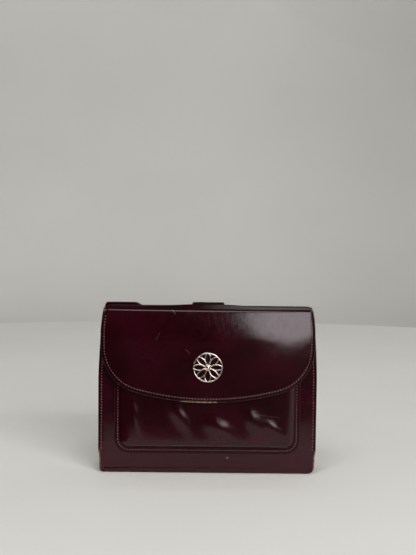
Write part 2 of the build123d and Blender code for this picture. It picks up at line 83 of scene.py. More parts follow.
LEATHER = 1.2  # thickness of the outer leather
EDGE_R = 0.5  # rounding of its cut edges
FOLD_R = 1.3
TAPER_Z = 55.0  # above this the covers narrow to their top
POCKET_CORNER_R = 8.5
FLAP_THICK = 1.8  # the flap's leather with its turned edge
FLAP_LINING = 0.35
FLAP_BOW = 4.2
FLAP_ARC_R = 165.0
FLAP_CORNER_R = 27.0
LEAN_Z = 77.35  # above this the flap leans back to its crease
LEAN_R = 46.7
LEAN = math.radians(22)
CREASE_R = 2.1
BRIDGE_LEAN = math.radians(79)  # the bridge over the top, measured from upright
CREASE_V = LEAN_Z + LEAN_R * LEAN
BRIDGE_V = CREASE_V + CREASE_R * (BRIDGE_LEAN - LEAN)
BRIDGE_Y = (FLAP_LOW[1] + LEAN_R * (1 - math.cos(LEAN))
            + CREASE_R * (math.cos(LEAN) - math.cos(BRIDGE_LEAN)))
BRIDGE_Z = LEAN_Z + LEAN_R * math.sin(LEAN) + CREASE_R * (math.sin(BRIDGE_LEAN) - math.sin(LEAN))
ROOT_BEND_R = 1.6
BRIDGE_RUN = ((ROOT_HIGH[1] - ROOT_BEND_R * (1 + math.cos(BRIDGE_LEAN)) - BRIDGE_Y)
              / math.sin(BRIDGE_LEAN))
ROOT_BEND_Z = BRIDGE_Z + BRIDGE_RUN * math.cos(BRIDGE_LEAN) - ROOT_BEND_R * math.sin(BRIDGE_LEAN)
FLAP_V = BRIDGE_V + BRIDGE_RUN
STITCH_PITCH = 1.68
STITCH_LENGTH = 1.16
STITCH_SLANT = 18.0
SEAM_INSET = 1.9  # of the pocket's and the covers' seams from the edge
BINDING = 2.6  # width of the bound edges


# ---------------------------------------------------------------- small helpers
def smooth(value, start, end):
    """0 before start, 1 after end, and an S-curve between them."""
    t = np.clip((value - start) / (end - start), 0, 1)
    return t * t * (3 - 2 * t)


def hills(x, z, bumps):
    """Sum of smooth hills (x, z, half width, half height, height, turn in degrees)."""
    total = np.zeros(np.shape(x))
    for cx, cz, wide, tall, height, turn in bumps:
        c, s = math.cos(math.radians(turn)), math.sin(math.radians(turn))
        a = ((x - cx) * c + (z - cz) * s) / wide
        b = ((z - cz) * c - (x - cx) * s) / tall
        total = total + height * np.exp(-(a * a + b * b))
    return total


def profile(start, heading, moves, v_start):
    """Distance, Y and Z along runs (length,) and arcs (radius, turn) from start.

    heading and turn are in degrees, from straight up towards +Y.
    """
    y, z = start
    v = v_start
    angle = math.radians(heading)
    points = [(v, y, z)]
    for move in moves:
        turn = math.radians(move[1]) if len(move) == 2 else 0.0
        length = move[0] * abs(turn) if turn else move[0]
        steps = max(8, int(length / 0.2))
        for _ in range(steps):
            angle += turn / steps / 2
            y += math.sin(angle) * length / steps
            z += math.cos(angle) * length / steps
            angle += turn / steps / 2
            v += length / steps
            points.append((v, y, z))
    return np.array(points).T


def rolled(path, side=1, shift=None):
    """A surface that follows a profile. side is -1 where the sheet's face looks backwards."""

    def surface(u, v):
        x = side * u
        y = np.interp(v, path[0], path[1])
        z = np.interp(v, path[0], path[2])
        if shift:
            dy, dz = shift(x, v, z)
            y, z = y + dy, z + dz
        return np.stack([x, y, z], -1)

    return surface


def inward(surface, u, v):
    """Unit normals that point into the leather."""
    e = 0.15
    du = surface(u + e, v) - surface(u - e, v)
    dv = surface(u, v + e) - surface(u, v - e)
    n = np.cross(dv, du)
    return n / np.linalg.norm(n, axis=-1, keepdims=True)


def steps_along(line):
    """Length of each step along a line of points."""
    return np.linalg.norm(np.diff(line, axis=0), axis=1)


def turn_points(count):
    """Cosine and sine at equal steps round a full turn."""
    angles = np.linspace(0, 2 * math.pi, count + 1)[:-1]
    return np.cos(angles), np.sin(angles)


def spread(line, count, dense=()):
    """count points along a line of (u, v), without its last; closer where v is in dense spans."""
    line = np.array(line, float)
    line = np.vstack([line[:1], line[1:][steps_along(line) > 1e-6]])
    fine = [line[0]]
    for a, b in zip(line[:-1], line[1:]):
        n = max(1, int(np.linalg.norm(b - a) / 0.4))
        fine += [a + (b - a) * (i + 1) / n for i in range(n)]
    fine = np.array(fine)
    steps = steps_along(fine)
    middle = (fine[1:, 1] + fine[:-1, 1]) / 2
    for low, high, times in dense:
        steps = steps * np.where((middle > low) & (middle < high), times, 1.0)
    along = np.concatenate([[0], np.cumsum(steps)])
    wanted = np.arange(count) / count * along[-1]
    return np.stack([np.interp(wanted, along, fine[:, i]) for i in (0, 1)], -1)


def arc(cx, cz, radius, start, end, steps=24):
    """Points on an arc, angles in degrees."""
    angles = np.radians(np.linspace(start, end, steps))
    return [(cx + radius * math.cos(a), cz + radius * math.sin(a)) for a in angles]


def mirrored(bottom, right, top):
    """Four sides, anticlockwise, of an outline that is the same on its left and right."""
    left = [(-u, v) for u, v in reversed(right)]
    return bottom, right, top, left


def rounded(x0, x1, z0, z1, low_r, top_r):
    """Four sides of a rectangle with rounded corners, split in the middle of each corner."""
    low_left = arc(x0 + low_r, z0 + low_r, low_r, 180, 270)
    low_right = arc(x1 - low_r, z0 + low_r, low_r, 270, 360)
    top_right = arc(x1 - top_r, z1 - top_r, top_r, 0, 90)
    top_left = arc(x0 + top_r, z1 - top_r, top_r, 90, 180)
    bottom = low_left[12:] + low_right[:12]
    right = low_right[11:] + top_right[:12]
    top = top_right[11:] + top_left[:12]
    left = top_left[11:] + low_left[:13]
    return bottom, right, top, left


def loop_inset(loop, counts, distance, cut):
    """The closed loop moved inwards by distance. A cut side keeps its line and only shortens."""
    tangent = np.roll(loop, -1, 0) - np.roll(loop, 1, 0)
    tangent /= np.linalg.norm(tangent, axis=1, keepdims=True)
    normal = np.stack([-tangent[:, 1], tangent[:, 0]], -1)
    starts = np.cumsum([0] + list(counts))
    total = len(loop)
    for side in range(4):
        if cut[side]:
            first, last = starts[side] % total, starts[side + 1] % total
            for corner, beside in ((first, (first - 1) % total), (last, (last + 1) % total)):
                edge = loop[corner] - loop[beside]
                edge = edge / np.linalg.norm(edge)
                turned = np.array([-edge[1], edge[0]])
                normal[corner] = turned if beside != (last + 1) % total else -turned
    moved = loop + normal * distance
    for side in range(4):
        if cut[side]:
            first, last = starts[side], starts[side + 1] % total
            a, b = moved[first % total], moved[last]
            t = np.linspace(0, 1, counts[side] + 1)[:-1, None]
            moved[first:first + counts[side]] = a + (b - a) * t
            moved[first:first + counts[side], 1] = loop[first:first + counts[side], 1]
            moved[last, 1] = loop[last, 1]
    return moved


def outline_loop(sides, cells, dense):
    """The closed loop of an outline, and how many points each of its sides has."""
    counts = (*cells, *cells)
    return np.vstack([spread(line, n, dense) for line, n in zip(sides, counts)]), counts


def sunk(surface, depth):
    """The surface moved into the leather by depth, as a pulled stitch moves it."""
    return lambda u, v: surface(u, v) + inward(surface, u, v) * depth


def ring_faces(count, sides, closed=False):
    """Faces that join rings of points. closed joins the last to the first, else both are capped."""
    faces = []
    for r in range(count if closed else count - 1):
        a, b = r * sides, (r + 1) % count * sides
        for i in range(sides):
            n = (i + 1) % sides
            faces.append((a + i, a + n, b + n, b + i))
    if not closed:
        faces.append(tuple(range(sides))[::-1])
        faces.append(tuple((count - 1) * sides + i for i in range(sides)))
    return faces


def coons(loop, cols, rows):
    """Grid of flat points that fills a closed loop of 2 * (cols + rows) points."""
    bottom = loop[: cols + 1]
    right = loop[cols : cols + rows + 1]
    top = loop[cols + rows : 2 * cols + rows + 1][::-1]
    left = np.vstack([loop[2 * cols + rows :], loop[:1]])[::-1]
    s = np.linspace(0, 1, cols + 1)[:, None, None]
    t = np.linspace(0, 1, rows + 1)[None, :, None]
    ruled_v = (1 - t) * bottom[:, None] + t * top[:, None]
    ruled_u = (1 - s) * left[None] + s * right[None]
    corners = (1 - s) * ((1 - t) * bottom[0] + t * top[0]) + s * ((1 - t) * bottom[-1] + t * top[-1])
    return ruled_v + ruled_u - corners


# ---------------------------------------------------------------- patches and pieces
def rim(thick, radius, channel=0.0, groove=0.0):
    """Rings (inset, depth) from the face over the rounded edge to the back.

    channel is the depth of the stitched dip, groove that of the creased line beside the edge.
    """
    rings = []
    if channel:
        rings += [(2.95, 0.0), (2.6, channel * 0.3), (2.2, channel), (1.85, channel * 0.35)]
    if groove:
        rings += [(1.65, 0.02), (1.4, groove), (1.15, 0.03)]
    if not rings:
        rings += [(radius * 1.6, 0.0)]
    edge = [(radius * (1 - math.sin(a)), radius * (1 - math.cos(a)))
            for a in np.radians((0, 30, 60, 90))]
    rings += edge + [(inset, thick - deep) for inset, deep in reversed(edge)]
    return rings + [(max(radius * 1.6, 0.6), thick)]


def sheet(sides, cells, surface, rings, depth=0.0, cut=(0, 0, 0, 0), dense=()):
    """A sheet as (points, faces, flat, edge). cut sides are square-cut, to meet another sheet."""
    cols, rows = cells
    loop, counts = outline_loop(sides, cells, dense)
    total = len(loop)
    points, flats, edges, faces = [], [], [], []

    def place(uv, deep, edge):
        u, v = uv[:, 0], uv[:, 1]
        points.append(surface(u, v) + inward(surface, u, v) * deep)
        flats.append(np.stack([u, v, np.full(len(u), deep)], -1))
        edges.append(np.full(len(u), edge))

    for inset, deep in rings:
        shade = 1.0 if inset < 0.4 else 0.5 if inset < 1.7 else 0.0
        place(loop_inset(loop, counts, inset, cut), depth + deep, shade)
    for r in range(len(rings) - 1):
        for k in range(total):
            n = (k + 1) % total
            a, b = r * total, (r + 1) * total
            faces.append((a + k, b + k, b + n, a + n))
    for ring, flip in ((0, False), (len(rings) - 1, True)):
        inset, deep = rings[ring]
        grid = coons(loop_inset(loop, counts, inset, cut), cols, rows)
        base = sum(len(p) for p in points)
        place(grid[1:-1, 1:-1].reshape(-1, 2), depth + deep, 0.0)
        index = np.zeros((cols + 1, rows + 1), int)
        index[1:-1, 1:-1] = base + np.arange((cols - 1) * (rows - 1)).reshape(cols - 1, rows - 1)
        start = ring * total
        index[:, 0] = start + np.arange(cols + 1)
        index[cols, :] = start + cols + np.arange(rows + 1)
        index[:, rows] = start + 2 * cols + rows - np.arange(cols + 1)
        index[0, 1:] = start + 2 * (cols + rows) - np.arange(1, rows + 1)
        quads = np.stack([index[:-1, :-1], index[1:, :-1], index[1:, 1:], index[:-1, 1:]], -1)
        quads = quads.reshape(-1, 4)
        faces += [tuple(q[::-1]) if flip else tuple(q) for q in quads.tolist()]
    return np.vstack(points), faces, np.vstack(flats), np.concatenate(edges)


def hoop(line, normals, wide, tall, sides=10):
    """A closed wire along a line of points, wide across and tall along its normals."""
    ahead = np.roll(line, -1, 0) - np.roll(line, 1, 0)
    ahead /= np.linalg.norm(ahead, axis=1, keepdims=True)
    across = np.cross(ahead, normals)
    points = [line + across * wide * c + normals * tall * s for c, s in zip(*turn_points(sides))]
    points = np.stack(points, 1).reshape(-1, 3)
    return points, ring_faces(len(line), sides, True), points.copy(), np.zeros(len(points))


def dome(centre, normal, radius, height, rings=7, sides=28):
    """A low round boss that stands on centre along normal."""
    normal = np.array(normal, float) / np.linalg.norm(normal)
    a_axis = np.cross(normal, (0, 0, 1.0))
    a_axis /= np.linalg.norm(a_axis)
    b_axis = np.cross(normal, a_axis)
    points = [centre + normal * height]
    faces = []
    cosines, sines = turn_points(sides)
    around = a_axis * cosines[:, None] + b_axis * sines[:, None]
    for t in np.arange(1, rings + 1) / rings * math.pi / 2:
        points += list(centre + around * radius * math.sin(t) + normal * height * math.cos(t))
    for i in range(sides):
        n = (i + 1) % sides
        faces.append((0, 1 + n, 1 + i))
        for r in range(rings - 1):
            a, b = 1 + r * sides, 1 + (r + 1) * sides
            faces.append((a + i, a + n, b + n, b + i))
    faces.append(tuple(1 + (rings - 1) * sides + i for i in range(sides)))
    points = np.array(points)
    return points, faces, points.copy(), np.zeros(len(points))


def stitches(line, surface, wide=0.34, tall=0.26):
    """Thread that shows along a flat line: one small rounded bar for each stitch."""
    line = np.array(line, float)
    along = np.concatenate([[0], np.cumsum(steps_along(line))])
    count = int(along[-1] / STITCH_PITCH)
    rows, ring = 5, 8
    patches = []
    for i in range(count):
        half_length = STITCH_LENGTH * DRAW.uniform(0.93, 1.05) / 2
        middle = (i + 0.5) * along[-1] / count
        near = [middle - 0.3, middle + 0.3]
        ends = np.stack([np.interp(near, along, line[:, k]) for k in (0, 1)], -1)
        ahead = (ends[1] - ends[0]) / np.linalg.norm(ends[1] - ends[0])
        turn = math.radians(STITCH_SLANT + DRAW.uniform(-3, 3))
        c, s = math.cos(turn), math.sin(turn)
        ahead = np.array([ahead[0] * c - ahead[1] * s, ahead[0] * s + ahead[1] * c])
        centre = (ends[0] + ends[1]) / 2
        t = np.linspace(-1, 1, rows)
        flat = centre + ahead * (t * half_length)[:, None]
        up = -inward(surface, flat[:, 0], flat[:, 1])
        lift = tall * (0.45 - 1.25 * t**4)
        size = np.sqrt(np.clip(1 - np.abs(t) ** 3, 0.08, 1))
        spine = surface(flat[:, 0], flat[:, 1]) + up * lift[:, None]
        direction = spine[-1] - spine[0]
        direction /= np.linalg.norm(direction)
        across = np.cross(direction, up)
        points, flats = [], []
        for k in range(ring):
            a = 2 * math.pi * k / ring
            w = (math.cos(a) * wide * size)[:, None]
            h = (math.sin(a) * tall * size)[:, None]
            points.append(spine + across * w + up * h)
            flats.append(np.stack([t * half_length + i * 7.3, np.full(rows, a), np.zeros(rows)], -1))
        points = np.stack(points, 1).reshape(-1, 3)
        flats = np.stack(flats, 1).reshape(-1, 3)
        patches.append((points, ring_faces(rows, ring), flats, np.zeros(len(points))))
    return patches


def piece(name, patches, kind, *nodes):
    """One smooth-shaded object, in metres, that stands for CAD nodes. kind is (material, slot); the slot is
    not used.
    """
    material, slot = kind
    points, faces, flats, edges, base = [], [], [], [], 0
    for p, f, flat, edge in patches:
        points.append(p)
        flats.append(flat)
        edges.append(edge)
        faces += [tuple(i + base for i in face) for face in f]
        base += len(p)
    mesh = bpy.data.meshes.new(name)
    mesh.from_pydata((np.vstack(points) / 1000).tolist(), [], faces)
    mesh.attributes.new("flat", "FLOAT_VECTOR", "POINT")
    mesh.attributes["flat"].data.foreach_set("vector", np.vstack(flats).astype(np.float32).ravel())
    mesh.attributes.new("edge", "FLOAT", "POINT")
    mesh.attributes["edge"].data.foreach_set("value", np.concatenate(edges).astype(np.float32))
    mesh.shade_smooth()
    mesh.update()
    made = bpy.data.objects.new(name, mesh)
    bpy.context.scene.collection.objects.link(made)
    made.data.materials.append(material)
    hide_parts(*nodes)
    return made


def rigid(body, name, patches, kind, *nodes):
    """A piece that moves with one body."""
    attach(piece(name, patches, kind, *nodes), body)


def bending(bodies, start, end, name, patches, kind, *nodes):
    """A piece whose transform is baked into its mesh; it does not bend. bodies is not used; start and end
    are (y, z) in millimetres and are not used.
    """
    made = piece(name, patches, kind, *nodes)
    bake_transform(made)


# ---------------------------------------------------------------- materials
class Shade:
    """A material's node tree, with one short call for each node."""

    def __init__(self, name):
        self.material = bpy.data.materials.new(name)
        self.material.use_nodes = True
        self.tree = self.material.node_tree
        self.tree.nodes.clear()

    def add(self, kind, inputs=None, **settings):
        node = self.tree.nodes.new("ShaderNode" + kind)
        for key, value in settings.items():
            setattr(node, key, value)
        for key, value in (inputs or {}).items():
            if isinstance(value, bpy.types.NodeSocket):
                self.tree.links.new(value, node.inputs[key])
            else:
                node.inputs[key].default_value = value
        return node

    def math(self, operation, a, b=0.0, c=0.0):
        return self.add("Math", {0: a, 1: b, 2: c}, operation=operation).outputs[0]

    def ramp(self, value, low, high, to_low=0.0, to_high=1.0):
        """value from low to high becomes to_low to to_high on an S-curve, held beyond."""
        inputs = {"Value": value, "From Min": low, "From Max": high, "To Min": to_low, "To Max": to_high}
        return self.add("MapRange", inputs, interpolation_type="SMOOTHSTEP").outputs[0]

    def mix(self, share, a, b):
        return self.add("Mix", {0: share, 6: a, 7: b}, data_type="RGBA").outputs[2]

    def flat(self):
        """Flat coordinates of a made piece, in millimetres."""
        return self.add("Attribute", attribute_name="flat").outputs["Vector"]

    def solid(self):
        """Object coordinates in millimetres, for carried-over CAD nodes."""
        place = self.add("TexCoord").outputs["Object"]
        return self.add("VectorMath", {0: place, "Scale": 1000.0}, operation="SCALE").outputs[0]

    def stretched(self, vector, scale, turn=0.0):
        inputs = {"Vector": vector, "Scale": scale, "Rotation": (0, 0, math.radians(turn))}
        return self.add("Mapping", inputs, vector_type="POINT").outputs[0]

    def noise(self, vector, scale, detail=3.0, rough=0.55):
        inputs = {"Vector": vector, "Scale": scale, "Detail": detail, "Roughness": rough}
        return self.add("TexNoise", inputs).outputs["Fac"]

    def cells(self, vector, scale, feature="F1"):
        node = self.add("TexVoronoi", {"Vector": vector, "Scale": scale}, feature=feature)
        return node.outputs["Distance"]

    def bump(self, height, depth_mm, strength=1.0, normal=None):
        inputs = {"Height": height, "Distance": depth_mm / 1000, "Strength": strength}
        if normal:
            inputs["Normal"] = normal
        return self.add("Bump", inputs).outputs[0]

    def line(self, vector, a, b, width):
        """1 on the stroke from a to b of flat points, falling to 0 at width."""
        start, end = np.array(a, float), np.array(b, float)
        ahead = end - start
        x, y, _ = self.split(vector)
        length2 = float(ahead @ ahead)
        px = self.math("SUBTRACT", x, start[0])
        py = self.math("SUBTRACT", y, start[1])
        along = self.math("MULTIPLY", px, ahead[0] / length2)
        along = self.math("MULTIPLY_ADD", py, ahead[1] / length2, along)
        t = self.add("MapRange", {"Value": along}, interpolation_type="LINEAR").outputs[0]
        qx = self.math("SUBTRACT", px, self.math("MULTIPLY", t, float(ahead[0])))
        qy = self.math("SUBTRACT", py, self.math("MULTIPLY", t, float(ahead[1])))
        squares = self.math("MULTIPLY_ADD", qx, qx, self.math("MULTIPLY", qy, qy))
        return self.ramp(self.math("SQRT", squares), width, width * 0.25)

    def split(self, vector):
        return tuple(self.add("SeparateXYZ", {0: vector}).outputs)

    def finish(self, **inputs):
        """Ends the tree in one Principled shader."""
        shader = self.add("BsdfPrincipled", {k.replace("_", " "): v for k, v in inputs.items()})
        out = self.add("OutputMaterial")
        self.tree.links.new(shader.outputs[0], out.inputs[0])
        return self.material


def outer_leather(name, strokes=(), worn=()):
    """Glossy burgundy calf with fine grain, polish streaks, painted edges and wear, and painted light: a
    painted highlight on the outer rim, painted shade in the groove beside the edge and painted floor light
    towards the bottom.

    strokes are scratches (start, end, width, strength); worn are the stretches of rim
    (start, end) where the tan leather shows.
    """
    s = Shade(name)
    at = s.flat()
    edge = s.add("Attribute", attribute_name="edge").outputs["Fac"]
    broad = s.noise(at, 0.035, 2)
    mottle = s.noise(at, 0.35, 4)
    fine = s.noise(at, 2.2, 4)
    red = s.mix(s.ramp(broad, 0.35, 0.68), (0.0115, 0.0004, 0.0015, 1), (0.0225, 0.0009, 0.0042, 1))
    red = s.mix(s.ramp(mottle, 0.4, 0.8, 0.0, 0.25), red, (0.030, 0.0018, 0.0055, 1))
    # Painted floor light: the leather is lighter and redder towards the bottom, near the bright floor.
    _, height, _ = s.split(at)
    red = s.mix(s.ramp(height, 34, 8, 0.0, 0.65), red, (0.034, 0.0014, 0.0058, 1))
    streak = s.noise(s.stretched(at, (0.12, 1.3, 1.0), 12), 1.0, 4, 0.6)
    haze = s.noise(s.stretched(at, (0.9, 0.16, 1.0), -8), 1.0, 4, 0.6)
    rough = s.math("ADD", s.ramp(streak, 0.35, 0.7, 0.12, 0.17), s.ramp(haze, 0.4, 0.7, 0.0, 0.08))
    level_hair = s.noise(s.stretched(at, (0.05, 5.0, 1.0), 33), 1.0, 2, 0.4)
    upright_hair = s.noise(s.stretched(at, (4.0, 0.06, 1.0), 17), 1.0, 2, 0.4)
    hairs = s.math("MAXIMUM", s.ramp(level_hair, 0.74, 0.78), s.ramp(upright_hair, 0.75, 0.79))
    rough = s.math("MULTIPLY_ADD", hairs, 0.05, rough)
    pores = s.cells(at, 1.7)
    grain = s.bump(pores, 0.012, 0.5)
    grain = s.bump(fine, 0.004, 0.4, grain)
    grain = s.bump(s.noise(at, 0.22, 2), 0.1, 0.35, grain)
    grain = s.bump(haze, 0.02, 0.6, grain)
    scar = None
    for start, end, width, strength in strokes:
        uneven = s.math("MULTIPLY", fine, 1.6 * strength)
        mark = s.math("MULTIPLY", s.line(at, start, end, width), uneven)
        scar = mark if scar is None else s.math("MAXIMUM", scar, mark)
    if scar is not None:
        red = s.mix(scar, red, (0.24, 0.13, 0.13, 1))
        rough = s.math("MULTIPLY_ADD", scar, 0.2, rough)
    # Edge paint on the rim; its pale tone is also a painted highlight where the rounded rim catches the
    # light.
    paint = s.ramp(s.noise(at, 0.9, 4), 0.5, 0.75)
    rim_paint_and_highlight = s.mix(paint, (0.05, 0.014, 0.018, 1), (0.22, 0.09, 0.09, 1))
    on_rim = s.ramp(edge, 0.6, 0.9, 0.0, 0.85)
    # Painted shade: the band from the groove to the rounded edge is painted near-black, as shade in the
    # groove.
    crease = s.math("MULTIPLY", s.ramp(edge, 0.25, 0.45), s.ramp(edge, 0.8, 0.6))
    red = s.mix(on_rim, red, rim_paint_and_highlight)
    red = s.mix(s.math("MULTIPLY", crease, 0.8), red, (0.004, 0.0006, 0.001, 1))
    rough = s.math("MULTIPLY_ADD", crease, 0.25, rough)
    for start, end in worn:
        near = s.line(at, start, end, 1.6)
        torn = s.ramp(s.noise(at, 0.75, 5, 0.7), 0.42, 0.52)
        bare = s.math("MULTIPLY", s.math("MULTIPLY", near, edge), torn)
        red = s.mix(bare, red, (0.36, 0.25, 0.16, 1))
        rough = s.math("MULTIPLY_ADD", bare, 0.45, rough)
    gloss = s.math("MULTIPLY_ADD", s.ramp(edge, 0.1, 0.4), -0.4, 0.5)
    return s.finish(
        Base_Color=red, Roughness=rough, Normal=grain, IOR=1.39, Specular_IOR_Level=gloss,
    )


def lining_leather():
    """Satin inner leather: pebbled, less glossy, lighter along its rims."""
    s = Shade("lining_leather")
    at = s.flat()
    edge = s.add("Attribute", attribute_name="edge").outputs["Fac"]
    tone = s.mix(s.ramp(s.noise(at, 0.08, 3), 0.35, 0.7), (0.05, 0.006, 0.012, 1), (0.082, 0.011, 0.019, 1))
    rubbed = s.ramp(s.noise(at, 0.5, 5, 0.65), 0.55, 0.75)
    tone = s.mix(s.math("MULTIPLY", edge, 0.6), tone, (0.035, 0.005, 0.008, 1))
    tone = s.mix(s.math("MULTIPLY", rubbed, 0.3), tone, (0.13, 0.03, 0.035, 1))
    pebble = s.cells(at, 1.25, "SMOOTH_F1")
    grain = s.bump(pebble, 0.05, 0.6)
    grain = s.bump(s.noise(at, 3.0, 3), 0.02, 0.5, grain)
    rough = s.ramp(s.noise(at, 0.3, 4), 0.3, 0.7, 0.36, 0.5)
    return s.finish(Base_Color=tone, Roughness=rough, Normal=grain, IOR=1.48)


def lining_cloth():
    """Fine plain weave."""
    s = Shade("lining_cloth")
    at = s.flat()
    x, y, _ = s.split(at)
    warp = s.math("SINE", s.math("MULTIPLY", x, 2 * math.pi * 1.8))
    weft = s.math("SINE", s.math("MULTIPLY", y, 2 * math.pi * 1.8))
    check = s.math("MULTIPLY", warp, weft)
    slub = s.noise(s.stretched(at, (0.2, 2.0, 1.0)), 1.0, 3)
    height = s.math("MULTIPLY_ADD", slub, 0.5, check)
    tone = s.mix(s.ramp(check, -1, 1), (0.05, 0.009, 0.014, 1), (0.10, 0.022, 0.032, 1))
    tone = s.mix(s.ramp(slub, 0.4, 0.7, 0.0, 0.4), tone, (0.13, 0.035, 0.045, 1))
    return s.finish(
        Base_Color=tone, Roughness=0.75, Normal=s.bump(height, 0.05, 0.7), Sheen_Weight=0.3,
        Sheen_Roughness=0.5,
    )


def thread():
    """Waxed burgundy thread, twisted, faded to pink in places, with painted shade in the grooves of its
    twist.
    """
    s = Shade("thread")
    at = s.flat()
    x, y, _ = s.split(at)
    twist = s.math("SINE", s.math("MULTIPLY_ADD", x, 14.0, s.math("MULTIPLY", y, 2.0)))
    fade = s.noise(at, 0.16, 3)
    tone = s.mix(s.ramp(fade, 0.38, 0.66), (0.12, 0.024, 0.036, 1), (0.27, 0.08, 0.10, 1))
    # Painted shade: darker in the grooves of the twist.
    tone = s.mix(s.ramp(twist, -1, 0.2, 0.45, 0.0), tone, (0.03, 0.006, 0.009, 1))
    return s.finish(
        Base_Color=tone, Roughness=0.52, Normal=s.bump(twist, 0.05, 0.8), Sheen_Weight=0.25,
    )


def silver():
    """Plated metal rubbed to warm brass in places, with fine scratches."""
    s = Shade("silver_metal")
    at = s.flat()
    gold = s.ramp(s.noise(at, 0.42, 3, 0.6), 0.53, 0.62)
    tone = s.mix(gold, (0.80, 0.78, 0.73, 1), (0.83, 0.60, 0.27, 1))
    tarnish = s.ramp(s.noise(at, 1.1, 4, 0.6), 0.52, 0.72)
    tone = s.mix(s.math("MULTIPLY", tarnish, 0.45), tone, (0.22, 0.17, 0.12, 1))
    scratch = s.noise(s.stretched(at, (6.0, 0.5, 1.0), 25), 1.0, 3)
    rough = s.math("ADD", s.ramp(scratch, 0.35, 0.7, 0.14, 0.28), s.math("MULTIPLY", tarnish, 0.15))
    return s.finish(Base_Color=tone, Metallic=1.0, Roughness=rough, Normal=s.bump(scratch, 0.01, 0.6))


def snap_metal():
    """Brass-toned snap plating with turned rings, dulled in places."""
    s = Shade("snap_metal")
    at = s.solid()
    dull = s.ramp(s.noise(at, 0.8, 4), 0.4, 0.7)
    tone = s.mix(dull, (0.72, 0.55, 0.29, 1), (0.42, 0.31, 0.17, 1))
    scratch = s.noise(s.stretched(at, (5.0, 5.0, 0.6), 20), 1.0, 3)
    rough = s.math("ADD", s.ramp(scratch, 0.35, 0.7, 0.18, 0.32), s.math("MULTIPLY", dull, 0.14))
    return s.finish(Base_Color=tone, Metallic=1.0, Roughness=rough, Normal=s.bump(scratch, 0.012, 0.5))


def hidden_silver():
    """The washers' plating, on CAD coordinates."""
    s = Shade("washer_metal")
    at = s.solid()
    dull = s.ramp(s.noise(at, 1.5, 4), 0.4, 0.7)
    tone = s.mix(dull, (0.7, 0.68, 0.64, 1), (0.4, 0.37, 0.33, 1))
    return s.finish(Base_Color=tone, Metallic=1.0, Roughness=s.ramp(dull, 0, 1, 0.2, 0.4))


def board():
    """Grey-brown fibre board."""
    s = Shade("board")
    at = s.solid()
    fibre = s.noise(s.stretched(at, (0.6, 0.6, 3.0)), 1.0, 5, 0.7)
    tone = s.mix(s.ramp(fibre, 0.35, 0.7), (0.22, 0.18, 0.14, 1), (0.36, 0.31, 0.26, 1))
    return s.finish(Base_Color=tone, Roughness=0.9, Normal=s.bump(fibre, 0.08, 0.6))


# ---------------------------------------------------------------- surfaces of the wallet
def bridge_dome(x):
    """How far the leather over the top stands up at its middle and sags at its sides."""
    return 0.25 - 1.2 * smooth(np.abs(x), 4, 34)


def flap_shift(x, v, z):
    """How the flap's leather bows across, domes at its root and waves a little."""
    on_bridge = smooth(v, BRIDGE_V - 0.5, FLAP_V)
    bow = FLAP_BOW * (x / 64) ** 2 * (1 - on_bridge)
    corner = 1.3 * smooth(np.abs(x), 40, 66) ** 2 * smooth(v, 92, 62)
    hang = smooth(v, CREASE_V, CREASE_V - 12)
    waves = [
        (0, SNAP_Z + 1, 6.0, 6.0, -0.5, 0),
        (-30, 70, 16, 10, 0.16, 20),
        (18, 78, 14, 8, 0.14, -15),
        (40, 62, 12, 12, -0.16, 10),
        (-44, 58, 10, 14, -0.12, 0),
    ]
    over = np.clip(np.minimum(v, CREASE_V) - LEAN_Z, 0, None) / LEAN_R
    gentle = np.clip(np.minimum(v, CREASE_V) - 66, 0, None) ** 2 / 252
    slack = smooth(x, 8, 60) * (gentle - LEAN_R * (1 - np.cos(over)))
    dy = bow + corner + slack + hang * hills(x, z, waves)
    return dy, bridge_dome(x) * smooth(v, BRIDGE_V - 1.0, FLAP_V)


def flap_surface():
    """Outer face of the hanging flap, its crease and the bridge over the top."""
    start_v = 36.0
    turns = math.degrees(LEAN), math.degrees(BRIDGE_LEAN - LEAN)
    path = profile(
        (FLAP_LOW[1], start_v), 0,
        [(LEAN_Z - start_v,), (LEAN_R, turns[0]), (CREASE_R, turns[1]), (BRIDGE_RUN,)], start_v,
    )
    return rolled(path, 1, flap_shift)


def root_surface():
    """Outer face of the flap's sewn end and the bend over the front half's top."""
    low = ROOT_LOW[2]
    turn = math.degrees(BRIDGE_LEAN) - 180
    path = profile((ROOT_HIGH[1], low), 0, [(ROOT_BEND_Z - low,), (ROOT_BEND_R, turn)], low)
    end_v = path[0][-1]

    def shift(x, v, z):
        return np.zeros(np.shape(x)), bridge_dome(x) * smooth(v, ROOT_BEND_Z - 3, end_v)

    return rolled(path, -1, shift), end_v


def cover_waves(x, z):
    """Slight set of the covers after years of use."""
    waves = [(-40, 40, 22, 26, 0.22, 0), (35, 60, 20, 18, -0.15, 10), (48, 24, 14, 12, 0.18, 0)]
    return hills(x, z, waves) * smooth(z, 4, 14)


def cover_surface(side):
    """Outer face of one cover, its bottom fold and its half of the spine. side 1 is the front."""
    y_face = FRONT_LOW[1] if side > 0 else BACK_HIGH[1]
    run = abs(MID_Y - y_face) - FOLD_R
    v_start = FOLD_R - FOLD_R * math.pi / 2 - run
    top = (FRONT_HIGH if side > 0 else BACK_HIGH)[2]
    moves = [(run,), (FOLD_R, 90 * side), (top + 3 - FOLD_R,)]
    path = profile((MID_Y, 0), -90 * side, moves, v_start)

    def shift(x, v, z):
        lift = 0.0
        if side < 0:  # the back cover's top edge steps up at its left end
            lift = 1.15 * smooth(x, -39.3, -43) - 0.65 * smooth(x, -44, -38) - 0.25 * smooth(x, 0, 60)
        return cover_waves(x * side, z) * side, lift * smooth(z, top - 22, top)

    return rolled(path, side, shift), v_start


